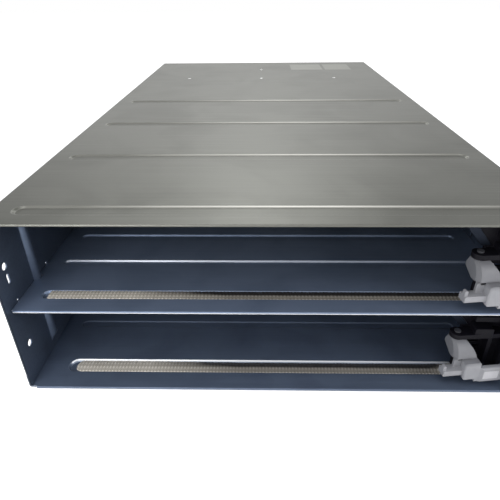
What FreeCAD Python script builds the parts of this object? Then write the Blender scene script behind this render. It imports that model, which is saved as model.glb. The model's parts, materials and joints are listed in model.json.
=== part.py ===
import FreeCAD, Part
import math
import os

from FreeCAD import Vector

# Storage processor enclosure: a rack chassis with two stacked bays that open at one end.
# Millimetres. X runs across the mouth, Y from the mouth into the depth, Z is up.
# The origin is under the middle of the enclosure, on the plane it rests on.

# Overall size
width = 447.0
height = 175.0
depth = 788.0

# Panels
sheet = 1.2              # steel of every panel
bend_radius = 2.2        # outside radius of a folded edge
flange_height = 14.0     # side flanges of the cover and of the floor tray
hem_length = 9.0         # how far a folded front edge runs back under its panel
hem_relief = 7.0         # bare corner beside a hem
seat_gap = 0.1           # between panels that are riveted together
overshoot = 1.0          # how far a cutting shape passes the face it cuts
stack_allowance = 7.0    # height taken by the panels and by the gap over the upper bay
shelf_setback = 7.0      # shelf edge behind the mouth

# Pressed beads
groove_depth = 2.4       # gasket grooves, and the bead that the far end rests on
groove_slope = 1.6       # how much a groove narrows from rim to bottom, each side
shelf_bead_depth = 1.7
floor_bead_depth = 0.8
bead_slope = 1.1         # the same for the beads of the bay floors
cover_bead_depth = 1.5
cover_bead_slope = 2.2
bead_side_margin = 19.5  # from the side of the enclosure to the tip of a bead
cover_bead_width = 17.0
cover_bead_first = 25.0
cover_bead_pitch = 126.5
cover_bead_count = 4
floor_bead_width = 10.0
floor_bead_first = 92.0
shelf_bead_first = 86.0
floor_bead_pitch = 54.0
floor_bead_count = 2
floor_bead_far = 72.0     # bead under the far end, from the far edge

# Gasket grooves and the strips in them
floor_groove_width = 17.0
floor_groove_middle = 28.7
shelf_groove_width = 12.6
shelf_groove_middle = 31.8
floor_groove_margin = 27.5
gasket_fit = 0.5         # beside a strip
gasket_rise = 0.6        # crown of a strip above the bay floor

# Side walls
rib_radius = 6.2
rib_height = 4.6
rib_middle = 60.0
rib_low = 22.0
rib_top_margin = 23.0    # from its upper end to the top of the cover
rib_run_out = 9.0        # tapered ends of a rib
bolt_hole_radius = 3.5
bolt_hole_setback = 18.6
bolt_hole_height = 38.2  # above the floor of its bay
wall_slot_width = 3.5
wall_slot_round = 1.7
wall_slot_low = 21.0     # above the shelf
wall_slot_high = 30.8
sight_slot = 2.4         # small square holes beside the shelf
sight_slot_height = 0.3  # above the shelf
sight_slot_setbacks = (22.0, 83.0)
side_slot_setback = 138.0  # upright slot of the right wall only
side_slot_low = 2.0      # above the shelf
side_slot_height = 12.0
tab_length = 24.0        # shelf tabs that pass through the walls
tab_clearance = 0.2

# Midplane
screw_row = 597.0        # fasteners of the bulkhead, behind the mouth
screw_spacing = 135.0
screw_shift = -5.0       # middle of the row, from the middle of the enclosure
bulkhead_flange = 12.0
bulkhead_frame = 21.0    # metal left beside its windows
board_thickness = 3.2
board_margin = 7.0       # from the walls, the floor and the cover
standoff_length = 6.0
standoff_radius = 3.2
standoff_inset = 6.0
board_corner = 3.0
socket_length = 16.0
socket_width = 52.0
socket_height = 22.0
socket_nose = 1.5        # broken edges of a socket
socket_base = 8.0        # above the bay floor
socket_count = 4
socket_margin = 63.0     # from the left wall to the middle of the first socket
socket_right_margin = 151.0  # from the right wall to the middle of the last one
power_width = 34.0
power_height = 30.0
power_margin = 60.0      # from the right wall
vent_low = 40.0          # air windows of the board, above the bay floor
vent_headroom = 12.0     # from an air window to the next bay floor
guide_pin_radius = 4.0
guide_pin_length = 30.0
guide_pin_gap = 15.0     # beside the outer sockets
guide_pin_height = 19.0

# Far compartment
centre_screw_inset = 95.0  # fastener of the centre walls, from the far edge
centre_flange = 12.0
far_gap = 2.0            # centre walls stop short of the far hem

# Fasteners of the cover
cover_screw_radius = 2.6

# Latch in each bay: its moulded housing on the right wall
latch_reach = 48.0       # from the wall to the pivot of the lever
pivot_setback = 24.5     # pivot behind the mouth
plate_height = 45.5      # underside of the latch plate above the bay floor
plate_thickness = 4.5
plate_slant = 4.0        # how much further back the plate starts beside the wall
lobe_radius = 6.5        # round end of the plate
housing_wall = 3.2
housing_front = 33.0     # front of the upright wall, behind the mouth
housing_side = 24.0      # front of the cheek along the right wall
housing_back = 50.0      # rear of that cheek
housing_headroom = 6.0   # from its top to the next bay floor
housing_neck = 7.0       # upright wall right of the pivot, at the plate
housing_lean = 17.0      # height over which the edge of the wall leans back over the pivot
catch_start = 14.0       # catch block on the plate, right of the pivot
catch_width = 16.0
catch_height = 6.0
hood_bar_low = 61.0
hood_bar_high = 66.0
air_slot = 3.0

# Latch lever, square to the mouth; distances across are from its pivot
lever_turn = 7.0         # degrees the closed lever leans into the bay
pivot_radius = 2.6
pivot_fit = 0.06
pivot_lip = 0.3          # head of the pivot beyond its hole
pivot_head = 1.2
lever_gap = 0.5          # above and below the plate
hub_height = 8.0
hood_reach = 5.4
hood_wall = 3.0
hood_splay = 2.2         # slanted left front edge of the hood, across
hood_sweep = 5.0         # and along the depth
hood_front = 9.0
hood_low = 30.0
hood_brow = 4.5          # top of the bow in front of the pivot
hood_waist = 3.4         # how far the front steps back under the bow
hood_tail = 7.0          # behind the pivot
hood_shoulder = 37.0     # lower end of the upright rear edge
hood_foot = 28.5         # where the slanted rear edge meets the column
hood_clip = 3.6          # clipped upper rear corner, along the depth
hood_clip_drop = 7.0     # and down
hood_bulge = 3.2
hood_edge_top = 5.0      # right edge of the hood, a bow from its top down to the block
hood_edge_middle = 11.2
hood_edge_level = 39.0   # height of that middle point
hood_edge_low = 15.6
arm_reach = 14.6
arm_front = 6.8
arm_back = 16.0
arm_low = 12.5
arm_high = 18.0
finger_width = 2.8
finger_front = 8.6
finger_back = 12.5
finger_high = 22.8
finger_round = 1.3
block_start = 3.6
block_width = 14.2
block_front = 4.0
block_back = 12.0
block_low = 9.0
block_high = 28.5
block_round = 1.8
handle_reach = 39.5
handle_front = 2.2
handle_back = 8.0
handle_low = 6.0
handle_high = 22.5
handle_round = 1.8
handle_lead = 3.0        # slanted left end of the handle
label_recess = 0.4
label_margin = 3.5

# Planes and edges that several pieces share
mouth = -depth / 2
far_edge = depth / 2
wall_outer = width / 2 - sheet - seat_gap
wall_inner = wall_outer - sheet
floor_under = groove_depth
floor_top = floor_under + sheet
bay_pitch = (height - stack_allowance) / 2
shelf_top = floor_top + bay_pitch
shelf_under = shelf_top - sheet
cover_under = height - sheet
wall_low = floor_under + bend_radius + seat_gap
wall_high = height - bend_radius - seat_gap
rib_high = height - rib_top_margin
bead_tip = width / 2 - bead_side_margin
bulkhead_near = mouth + screw_row - bulkhead_flange / 2
board_far = bulkhead_near - standoff_length
board_near = board_far - board_thickness
shelf_back = board_near - seat_gap
bay_floors = {"lower": floor_top, "upper": shelf_top}
socket_first = socket_margin - wall_inner
socket_last = wall_inner - socket_right_margin
vent_high = bay_pitch - vent_headroom
housing_top = bay_pitch - housing_headroom
across = Vector(1, 0, 0)
along = Vector(0, 1, 0)
up = Vector(0, 0, 1)


def box(x0, x1, y0, y1, z0, z1):
    return Part.makeBox(x1 - x0, y1 - y0, z1 - z0, Vector(x0, y0, z0))


def edges_along(shape, direction):
    found = []
    for edge in shape.Edges:
        run = edge.Vertexes[-1].Point - edge.Vertexes[0].Point
        if run.Length > 0 and abs(abs(run.dot(direction)) - run.Length) < 1e-6:
            found.append(edge)
    return found


def rounded_box(x0, x1, y0, y1, z0, z1, direction, radius):
    block = box(x0, x1, y0, y1, z0, z1)
    return block.makeFillet(radius, edges_along(block, direction))


def prism(corners, push):
    return Part.Face(Part.makePolygon(corners + corners[:1])).extrude(push)


def bowed_face(first, middle, last, rest):
    # face bounded by an arc and by straight sides through the other corners
    corners = [last] + rest + [first]
    sides = [Part.makeLine(corners[i], corners[i + 1]) for i in range(len(corners) - 1)]
    return Part.Face(Part.Wire(sides + [Part.Arc(first, middle, last).toShape()]))


def whole(shape):
    # one clean solid from a finished join
    return shape.removeSplitter().Solids[0]


def tapered_bar(half_length, y, rim_radius, rim_z, low_radius, low_z):
    # trough with sloping sides and half-cone ends
    def section(x, first, last):
        return Part.Face(Part.makePolygon([Vector(x, y + first * rim_radius, rim_z),
                                           Vector(x, y + last * rim_radius, rim_z),
                                           Vector(x, y + last * low_radius, low_z),
                                           Vector(x, y + first * low_radius, low_z),
                                           Vector(x, y + first * rim_radius, rim_z)]))
    trough = section(-half_length, -1, 1).extrude(across * (2 * half_length))
    left = section(-half_length, 0, 1).revolve(Vector(-half_length, y, 0), up, 180)
    right = section(half_length, 0, 1).revolve(Vector(half_length, y, 0), up, -180)
    return trough.fuse([left, right])


def press_beads(panel, top, beads, deep, slope):
    # beads are pressed down into a panel; each is its middle in Y, its width and its tip in X
    shells = []
    hollows = []
    for y, bead_width, tip in beads:
        rim = bead_width / 2
        bottom = rim - slope
        straight = tip - rim
        hollows.append(tapered_bar(straight, y, rim, top, bottom, top - deep))
        shells.append(tapered_bar(straight, y, rim + sheet, top - sheet,
                                  bottom + sheet, top - deep - sheet))
    return panel.fuse(shells).cut(hollows)


def hem(half_width, nose, inward, top):
    # folded edge, two sheets thick with a round nose; inward is the sense of Y into the panel
    middle = nose + inward * sheet
    back = nose + inward * hem_length
    slab = box(-half_width, half_width, min(middle, back), max(middle, back), top - 2 * sheet, top)
    roll = Part.makeCylinder(sheet, 2 * half_width, Vector(-half_width, middle, top - sheet), across)
    return slab.fuse(roll)


def folded_tray(low, high, closed, far_hem_top):
    # shallow tray with a side flange along each edge; closed is the level of its flat web
    half = width / 2
    outside = box(-half, half, mouth + sheet, far_edge - sheet, low, high)
    folds = [e for e in edges_along(outside, along) if abs(e.CenterOfMass.z - closed) < 1e-6]
    outside = outside.makeFillet(bend_radius, folds)
    inside_low = low + sheet if closed == low else low - sheet
    inside_high = high - sheet if closed == high else high + sheet
    inside = box(-half + sheet, half - sheet, mouth - sheet, far_edge + sheet, inside_low, inside_high)
    inner_level = inside_low if closed == low else inside_high
    folds = [e for e in edges_along(inside, along) if abs(e.CenterOfMass.z - inner_level) < 1e-6]
    inside = inside.makeFillet(bend_radius - sheet, folds)
    hem_half = half - hem_relief
    hems = [hem(hem_half, mouth, 1, far_hem_top), hem(hem_half, far_edge, -1, far_hem_top)]
    return outside.cut(inside).fuse(hems)


def spread(first, last, count):
    return [first + (last - first) * i / (count - 1) for i in range(count)]


def cover_screw_places():
    row = [Vector(screw_shift + i * screw_spacing, mouth + screw_row, height) for i in (-1, 0, 1)]
    return row + [Vector(screw_shift, far_edge - centre_screw_inset, height)]


def cover_screws(fit):
    # flush screws through the cover, down to the flanges that hold it
    length = sheet + seat_gap
    return [Part.makeCylinder(cover_screw_radius + fit, length, p, -up) for p in cover_screw_places()]


def mirrored(shape):
    return shape.mirror(Vector(0, 0, 0), across)


# Panels of the enclosure

def make_top_cover():
    cover = folded_tray(height - flange_height, height, height, height)
    beads = []
    for i in range(cover_bead_count):
        beads.append((mouth + cover_bead_first + i * cover_bead_pitch, cover_bead_width, bead_tip))
    cover = press_beads(cover, height, beads, cover_bead_depth, cover_bead_slope)
    return whole(cover.cut(cover_screws(seat_gap)))


def bead_rows(first):
    return [(mouth + first + i * floor_bead_pitch, floor_bead_width, bead_tip)
            for i in range(floor_bead_count)]


def make_floor_tray():
    tray = folded_tray(floor_under, floor_under + flange_height, floor_under, floor_top)
    groove_tip = width / 2 - floor_groove_margin
    feet = [(mouth + floor_groove_middle, floor_groove_width, groove_tip),
            (far_edge - floor_bead_far, floor_bead_width, bead_tip)]
    tray = press_beads(tray, floor_top, feet, groove_depth, groove_slope)
    return whole(press_beads(tray, floor_top, bead_rows(floor_bead_first), floor_bead_depth, bead_slope))


def rib_core(radius):
    # round bar whose side stands proud of the wall, cut off on a slant at each end
    x = -wall_inner + rib_height - rib_radius
    y = mouth + rib_middle
    inset = rib_radius - radius
    reach = 3 * rib_radius
    slope = rib_run_out / rib_height
    length = rib_high - rib_low + 4 * rib_run_out
    bar = Part.makeCylinder(radius, length, Vector(x, y, rib_low - 2 * rib_run_out))
    cuts = []
    for level, sense in ((rib_low, -1), (rib_high, 1)):
        foot = Vector(-wall_inner - inset, y - reach, level + sense * rib_run_out)
        corners = [foot, foot + Vector(reach, 0, -sense * reach * slope),
                   foot + Vector(reach, 0, sense * reach * slope),
                   foot + Vector(-reach, 0, sense * 2 * reach * slope),
                   foot + Vector(-reach, 0, sense * reach * slope)]
        cuts.append(prism(corners, along * 2 * reach))
    return bar.cut(cuts)


def shelf_tab_places():
    near = spread(mouth + 2 * rib_middle, shelf_back - 2 * tab_length, 3)
    far = spread(far_shelf_front() + tab_length, far_edge - 2 * tab_length, 2)
    return near, far


def far_shelf_front():
    return bulkhead_near + sheet + seat_gap


def make_left_wall():
    plate = box(-wall_outer, -wall_inner, mouth, far_edge, wall_low, wall_high)
    beyond = box(-wall_outer, 0, mouth, far_edge, wall_low, wall_high)
    plate = plate.fuse(rib_core(rib_radius).common(beyond)).cut(rib_core(rib_radius - sheet))
    through = 3 * sheet
    start = -wall_outer - sheet
    cuts = []
    for base in bay_floors.values():
        spot = Vector(start, mouth + bolt_hole_setback, base + bolt_hole_height)
        cuts.append(Part.makeCylinder(bolt_hole_radius, through, spot, across))
    for setback in sight_slot_setbacks:
        y = mouth + setback
        cuts.append(box(start, start + through, y - sight_slot / 2, y + sight_slot / 2,
                        shelf_top + sight_slot_height, shelf_top + sight_slot_height + sight_slot))
    slot_half = wall_slot_width / 2
    slot_y = mouth + bolt_hole_setback
    cuts.append(rounded_box(start, start + through, slot_y - slot_half, slot_y + slot_half,
                            shelf_top + wall_slot_low, shelf_top + wall_slot_high,
                            across, wall_slot_round))
    for y in sum(shelf_tab_places(), []):
        half = tab_length / 2 + tab_clearance
        cuts.append(box(start, start + through, y - half, y + half,
                        shelf_under - tab_clearance, shelf_top + tab_clearance))
    return whole(plate.cut(cuts))


def make_right_wall(left):
    # mirror of the left wall with one more upright slot beside the shelf
    y = mouth + side_slot_setback
    low = shelf_top + side_slot_low
    slot = box(0, width, y - wall_slot_width / 2, y + wall_slot_width / 2, low, low + side_slot_height)
    return whole(mirrored(left).cut(slot))


def shelf_plate(front, back, tabs):
    half = wall_inner - tab_clearance
    plate = box(-half, half, front, back, shelf_under, shelf_top)
    ends = []
    for y in tabs:
        ends.append(box(-wall_outer, wall_outer, y - tab_length / 2, y + tab_length / 2,
                        shelf_under, shelf_top))
    return plate.fuse(ends)


def make_bay_shelf():
    near_tabs = shelf_tab_places()[0]
    nose = mouth + shelf_setback
    plate = shelf_plate(nose + sheet, shelf_back, near_tabs)
    plate = plate.fuse(hem(wall_inner - tab_clearance - sheet, nose, 1, shelf_top))
    groove = [(mouth + shelf_groove_middle, shelf_groove_width, bead_tip)]
    plate = press_beads(plate, shelf_top, groove, groove_depth, groove_slope)
    plate = press_beads(plate, shelf_top, bead_rows(shelf_bead_first), shelf_bead_depth, bead_slope)
    notch = rib_core(rib_radius + tab_clearance)
    return whole(plate.cut([notch, mirrored(notch)]))


def make_far_shelf():
    far_tabs = shelf_tab_places()[1]
    nose = far_edge - shelf_setback
    plate = shelf_plate(far_shelf_front(), nose - sheet, far_tabs)
    return whole(plate.fuse(hem(wall_inner - tab_clearance - sheet, nose, -1, shelf_top)))


def make_gasket(top, middle, groove_width, tip):
    # strip that fills its groove, with an arched crown
    rim = groove_width / 2 - gasket_fit
    foot = rim - groove_slope
    y = mouth + middle
    straight = tip - groove_width / 2
    x = -straight
    left = Vector(x, y - rim, top)
    right = Vector(x, y + rim, top)
    crown = Vector(x, y, top + gasket_rise)
    outline = bowed_face(left, crown, right,
                         [Vector(x, y + foot, top - groove_depth), Vector(x, y - foot, top - groove_depth)])
    return outline.extrude(across * (2 * straight))


# Midplane

def make_bulkhead():
    half = wall_inner - tab_clearance
    low = floor_top + seat_gap
    high = cover_under - seat_gap
    plate = box(-half, half, bulkhead_near, bulkhead_near + sheet, low, high)
    flanges = [box(-half, half, bulkhead_near, bulkhead_near + bulkhead_flange, low, low + sheet),
               box(-half, half, bulkhead_near, bulkhead_near + bulkhead_flange, high - sheet, high)]
    plate = plate.fuse(flanges)
    cuts = []
    frame = bulkhead_frame
    for base in bay_floors.values():
        cuts.append(box(-half + frame, half - frame, bulkhead_near - sheet, bulkhead_near + 2 * sheet,
                        base + socket_base, base + vent_high))
    return whole(plate.cut(cuts))


def board_limits():
    half = wall_inner - board_margin
    return half, floor_top + board_margin, cover_under - board_margin


def standoff_places():
    half, low, high = board_limits()
    edge = half - standoff_inset
    return [(x, z) for x in (-edge, edge) for z in (low + standoff_inset, high - standoff_inset)]


def socket_middles():
    return spread(socket_first, socket_last, socket_count)


def make_midplane_board():
    half, low, high = board_limits()
    plate = rounded_box(-half, half, board_near, board_far, low, high, along, board_corner)
    pairs = zip(socket_middles()[::2], socket_middles()[1::2])
    windows = [(first - socket_width / 2, last + socket_width / 2) for first, last in pairs]
    cuts = []
    for base in bay_floors.values():
        for left, right in windows:
            cuts.append(box(left, right, board_near - overshoot, board_far + overshoot,
                            base + vent_low, base + vent_high))
    return whole(plate.cut(cuts))


def make_standoffs():
    # six-sided posts between the board and the bulkhead
    posts = []
    for x, z in standoff_places():
        corners = []
        for i in range(6):
            turn = math.radians(60 * i)
            corners.append(Vector(x + standoff_radius * math.cos(turn), board_far,
                                  z + standoff_radius * math.sin(turn)))
        posts.append(prism(corners, along * standoff_length))
    return Part.makeCompound(posts)


def socket_block(middle, block_width, low, block_height):
    # receptacle on the board with its nose edges broken
    front = board_near - socket_length
    left = middle - block_width / 2
    block = box(left, left + block_width, front, board_near, low, low + block_height)
    nose = [e for e in block.Edges if abs(e.BoundBox.YMax - front) < 1e-6]
    return block.makeChamfer(socket_nose, nose)


def make_signal_sockets(base):
    return Part.makeCompound([socket_block(x, socket_width, base + socket_base, socket_height)
                              for x in socket_middles()])


def make_power_socket(base):
    return socket_block(wall_inner - power_margin, power_width, base + socket_base, power_height)


def make_guide_pins():
    # pins either side of the sockets
    pieces = []
    reach = socket_width / 2 + guide_pin_gap + guide_pin_radius
    for base in bay_floors.values():
        for x in (socket_first - reach, socket_last + reach):
            root = Vector(x, board_near, base + guide_pin_height)
            pieces.append(Part.makeCylinder(guide_pin_radius, guide_pin_length, root, -along))
    return Part.makeCompound(pieces)


# Far compartment

def make_centre_wall(low, high):
    # upright sheet folded over at its foot and at its top
    front = bulkhead_near + bulkhead_flange + 2 * sheet
    back = far_edge - shelf_setback - hem_length - far_gap
    left = screw_shift - centre_flange / 2
    right = left + centre_flange
    channel = box(left, right, front, back, low, high)
    hollow = box(left + sheet, right + sheet, front - sheet, back + sheet, low + sheet, high - sheet)
    return whole(channel.cut(hollow))


# Latch, built over a bay floor at zero height

pivot_x = wall_inner - latch_reach
pivot_y = mouth + pivot_setback
plate_top = plate_height + plate_thickness


def at(x, setback, level):
    # point by its distance right of the pivot, behind the mouth and above the bay floor
    return Vector(pivot_x + x, mouth + setback, level)


def span(x0, x1, front, back, low, high):
    return box(pivot_x + x0, pivot_x + x1, mouth + front, mouth + back, low, high)


def rounded_span(x0, x1, front, back, low, high, direction, radius):
    return rounded_box(pivot_x + x0, pivot_x + x1, mouth + front, mouth + back, low, high,
                       direction, radius)


def make_latch_housing():
    side = latch_reach - seat_gap
    back = housing_front + housing_wall
    # upright wall; its left edge leans back over the pivot above the plate
    wall = prism([at(housing_neck, housing_front, housing_wall),
                  at(side, housing_front, housing_wall),
                  at(side, housing_front, housing_top),
                  at(-housing_neck, housing_front, housing_top),
                  at(-housing_neck, housing_front, plate_top + housing_lean),
                  at(housing_neck, housing_front, plate_top)], along * housing_wall)
    # latch plate with a round end that carries the pivot
    plate_front = pivot_setback - lobe_radius
    plate = prism([at(0, plate_front, plate_height),
                   at(side, plate_front + plate_slant, plate_height),
                   at(side, back, plate_height),
                   at(housing_neck, back, plate_height),
                   at(housing_neck, pivot_setback + lobe_radius, plate_height),
                   at(0, pivot_setback + lobe_radius, plate_height)], up * plate_thickness)
    lobe = Part.makeCylinder(lobe_radius, plate_thickness, at(0, pivot_setback, plate_height))
    # catch block, bar above it, cheek on the wall of the bay, sill and gusset
    catch_front = plate_front + plate_slant / 2
    catch = rounded_span(catch_start, catch_start + catch_width, catch_front, back,
                         plate_height, plate_top + catch_height, along, housing_wall / 2)
    bar = span(catch_start, side, pivot_setback, back, hood_bar_low, hood_bar_high)
    cheek = span(side - housing_wall, side, housing_side, housing_back, housing_wall, housing_top)
    sill = span(housing_neck, side, housing_side, back, gasket_rise + 2 * seat_gap, housing_wall)
    gusset_x = catch_start + catch_width
    gusset = span(gusset_x, gusset_x + housing_wall, housing_side, back, housing_wall, plate_height)
    body = wall.fuse([plate, lobe, catch, bar, cheek, sill, gusset])
    cuts = [Part.makeCylinder(pivot_radius + pivot_fit, 2 * plate_thickness,
                              at(0, pivot_setback, plate_height - plate_thickness / 2))]
    # air slots through the wall, left of the gusset
    level = 2 * housing_wall
    while level + 2 * air_slot < plate_height:
        cuts.append(span(housing_neck + housing_wall, gusset_x - housing_wall,
                         housing_front - overshoot, back + overshoot, level, level + air_slot))
        level += 2 * air_slot
    return whole(body.cut(cuts))


def make_lever():
    left = -hood_reach
    right = block_start + block_width
    top = plate_height - lever_gap
    tail = pivot_setback + hood_tail
    hem_level = hood_low - hood_wall
    column_front = hood_front + hood_waist
    column_back = column_front + hood_wall
    # hood: a bowed front with a slanted left edge, hollowed from behind
    lip = at(0, hood_front, hood_low)
    brow = at(0, pivot_setback - hood_brow, top)
    chord = brow - lip
    outward = Vector(0, -chord.z, chord.y).normalize()
    crest = (lip + brow) * 0.5 + outward * hood_bulge
    rest = [at(0, tail, top), at(0, tail, hood_shoulder), at(0, column_back, hood_foot),
            at(0, column_back, arm_low), at(0, column_front, arm_low), at(0, column_front, hem_level)]
    outline = bowed_face(lip, crest, brow, rest)
    slant = Vector(hood_splay, -hood_sweep, 0)
    corner = outline.translated(across * (left + hood_splay) - slant).extrude(slant)
    corner = corner.cut([span(left - overshoot, right, tail, 2 * tail, 0, top + overshoot),
                         span(left - overshoot, right, 0, 2 * tail, 0, hood_foot)])
    front = outline.translated(across * (left + hood_splay)).extrude(across * (right - left - hood_splay))
    sink = outward * hood_wall
    rest = [at(0, tail + hood_sweep, top - hood_wall), at(0, tail + hood_sweep, arm_high),
            at(0, column_back, arm_high)]
    inside = bowed_face(lip - sink, crest - sink, brow - up * hood_wall, rest)
    inside_left = left + hood_wall
    pocket = inside.translated(across * (inside_left + hood_splay)).extrude(across * (right - left))
    side_pocket = inside.translated(across * (inside_left + hood_splay) - slant).extrude(slant)
    # the right edge of the hood bows down to the block
    beyond = right + overshoot
    trim = bowed_face(at(hood_edge_top, 0, top + overshoot), at(hood_edge_middle, 0, hood_edge_level),
                      at(hood_edge_low, 0, hem_level - overshoot),
                      [at(beyond, 0, hem_level - overshoot), at(beyond, 0, top + overshoot)])
    trim = trim.extrude(along * 2 * tail)
    window = span(block_start + hood_wall, beyond, 0, 2 * tail, arm_low - overshoot, hem_level)
    # its upper rear corner is clipped
    fall = Vector(0, hood_clip, -hood_clip_drop)
    start = at(left - overshoot, tail - hood_clip, top)
    clip = prism([start - fall, start + fall * 2, start + fall + (along + up) * hood_clip_drop],
                 across * (right - left))
    hood = front.fuse(corner).cut([pocket, side_pocket, trim, window, clip])
    # hub under the plate, pivot through it and the head that holds it there
    pivot_length = plate_thickness + 2 * lever_gap
    hub = span(left + hood_wall / 2, hood_reach, pivot_setback - hood_reach, tail - hood_clip,
               top - hub_height, top)
    pivot = Part.makeCylinder(pivot_radius, pivot_length, at(0, pivot_setback, top))
    head = Part.makeCylinder(pivot_radius + pivot_lip, pivot_head, at(0, pivot_setback, top + pivot_length))
    # arm with its finger, block and handle
    arm = span(-arm_reach, block_start + overshoot, arm_front, arm_back, arm_low, arm_high)
    finger = rounded_span(-arm_reach, finger_width - arm_reach, finger_front, finger_back,
                          arm_low, finger_high, along, finger_round)
    sides = rounded_span(block_start, right, block_front, block_back,
                         block_low, block_high, along, block_round)
    face = rounded_span(block_start, right + block_round, block_front, block_back + block_round,
                        block_low, block_high, up, block_round)
    block = sides.common(face)
    handle = rounded_span(right - hood_wall, handle_reach, handle_front, handle_back,
                          handle_low, handle_high, across, handle_round)
    # its left end slants forward from the face of the block
    butt = right - hood_wall - overshoot
    ahead = handle_front - overshoot
    lead_end = right + handle_lead
    lead = [at(x, setback, handle_low - overshoot)
            for x, setback in ((butt, block_front), (right, block_front), (lead_end, handle_front),
                               (lead_end, ahead), (butt, ahead))]
    handle = handle.cut(prism(lead, up * (handle_high - handle_low + 2 * overshoot)))
    label = span(right + label_margin, handle_reach - label_margin, handle_front - overshoot,
                 handle_front + label_recess, handle_low + label_margin, handle_high - label_margin)
    lever = whole(hood.fuse([hub, pivot, head, arm, finger, block, handle]).cut(label))
    lever.rotate(Vector(pivot_x, pivot_y, 0), up, lever_turn)
    return lever


# Every piece under its own name

left_wall = make_left_wall()
parts = {
    "top_cover": make_top_cover(),
    "floor_tray": make_floor_tray(),
    "left_wall": left_wall,
    "right_wall": make_right_wall(left_wall),
    "bay_shelf": make_bay_shelf(),
    "lower_gasket": make_gasket(floor_top, floor_groove_middle, floor_groove_width,
                                width / 2 - floor_groove_margin),
    "upper_gasket": make_gasket(shelf_top, shelf_groove_middle, shelf_groove_width, bead_tip),
    "midplane_bulkhead": make_bulkhead(),
    "midplane_board": make_midplane_board(),
    "midplane_standoffs": make_standoffs(),
    "guide_pins": make_guide_pins(),
    "far_shelf": make_far_shelf(),
    "upper_centre_wall": make_centre_wall(shelf_top + seat_gap, cover_under - seat_gap),
    "lower_centre_wall": make_centre_wall(floor_top + seat_gap, shelf_under - seat_gap),
    "cover_screws": Part.makeCompound(cover_screws(0)),
}
housing = make_latch_housing()
lever = make_lever()
for level, base in bay_floors.items():
    parts[level + "_signal_sockets"] = make_signal_sockets(base)
    parts[level + "_power_socket"] = make_power_socket(base)
    parts[level + "_latch_housing"] = housing.translated(up * base)
    parts[level + "_lever"] = lever.translated(up * base)

os.makedirs("parts", exist_ok=True)
for name, shape in parts.items():
    shape.exportStep("parts/" + name + ".step")
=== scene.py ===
import json
import math

import bmesh
import bpy
from mathutils import Matrix, Vector, noise


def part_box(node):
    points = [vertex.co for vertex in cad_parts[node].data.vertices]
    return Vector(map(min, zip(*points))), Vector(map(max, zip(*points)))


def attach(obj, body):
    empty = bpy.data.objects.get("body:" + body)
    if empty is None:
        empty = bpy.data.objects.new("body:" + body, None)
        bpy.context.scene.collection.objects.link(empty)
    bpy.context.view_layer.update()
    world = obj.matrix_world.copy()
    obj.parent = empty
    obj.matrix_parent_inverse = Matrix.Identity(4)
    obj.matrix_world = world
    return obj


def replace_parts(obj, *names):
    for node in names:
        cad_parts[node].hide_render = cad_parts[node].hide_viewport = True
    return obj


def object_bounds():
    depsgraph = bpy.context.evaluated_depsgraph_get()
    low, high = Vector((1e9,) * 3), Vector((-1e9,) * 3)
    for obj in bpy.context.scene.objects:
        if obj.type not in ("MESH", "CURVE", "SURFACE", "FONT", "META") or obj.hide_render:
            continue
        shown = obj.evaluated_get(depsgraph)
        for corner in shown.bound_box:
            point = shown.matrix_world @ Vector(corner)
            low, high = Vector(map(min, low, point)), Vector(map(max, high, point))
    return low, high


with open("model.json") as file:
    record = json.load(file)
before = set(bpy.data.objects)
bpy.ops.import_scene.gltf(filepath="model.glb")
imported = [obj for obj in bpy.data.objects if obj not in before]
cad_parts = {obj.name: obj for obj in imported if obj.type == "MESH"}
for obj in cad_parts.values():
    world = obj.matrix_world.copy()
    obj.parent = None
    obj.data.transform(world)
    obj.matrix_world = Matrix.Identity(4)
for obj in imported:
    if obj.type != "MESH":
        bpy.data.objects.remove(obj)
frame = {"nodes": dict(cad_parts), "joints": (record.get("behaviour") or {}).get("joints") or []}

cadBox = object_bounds()
nodes = frame["nodes"]
levels = ("lower", "upper")
print("frame loaded:", len(nodes), "nodes")


def mm(value):
    return value / 1000


def linear(hexColour):  # sRGB hex to the linear colour that shaders take
    channels = [int(hexColour[i:i + 2], 16) / 255 for i in (0, 2, 4)]
    bent = [c / 12.92 if c <= 0.04045 else ((c + 0.055) / 1.055) ** 2.4 for c in channels]
    return (*bent, 1.0)


def addNode(tree, kind, settings=None, links=None):  # sockets 6 and 7 of a colour Mix are its two colours
    node = tree.nodes.new("ShaderNode" + kind)
    for key, value in (settings or {}).items():
        if isinstance(key, str) and key[0].islower():  # a property of the node, the other keys are sockets
            setattr(node, key, value)
        else:
            node.inputs[key].default_value = value
    for key, source in (links or {}).items():
        if isinstance(source, bpy.types.Node):  # a node stands for its first output in use
            source = next(output for output in source.outputs if output.enabled)
        tree.links.new(source, node.inputs[key])
    return node


def startMaterial(name):
    material = bpy.data.materials.new(name)
    material.use_nodes = True
    tree = material.node_tree
    shader = tree.nodes["Principled BSDF"]
    place = addNode(tree, "TexCoord").outputs["Object"]
    return material, tree, shader, place


edgeWear = {"samples": 6, "flat": 0.995, "worn": 0.90}  # cosine between the softened and the true normal


def wornEdges(tree, radius):  # 1 on rubbed corners and 0 on flats, and the softened normal
    soft = addNode(tree, "Bevel", {"samples": edgeWear["samples"], "Radius": radius}).outputs["Normal"]
    true = addNode(tree, "NewGeometry").outputs["Normal"]
    turn = addNode(tree, "VectorMath", {"operation": "DOT_PRODUCT"}, {0: soft, 1: true})
    mask = addNode(tree, "MapRange", {"From Min": edgeWear["flat"], "From Max": edgeWear["worn"]},
                   {"Value": turn})
    return mask, soft


# zinc-coated sheet steel, cold rolled: satin, with rolling lines, slow waves and hand marks,
# with painted highlights on the folded noses and on pressed slopes that look to the mouth

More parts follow.
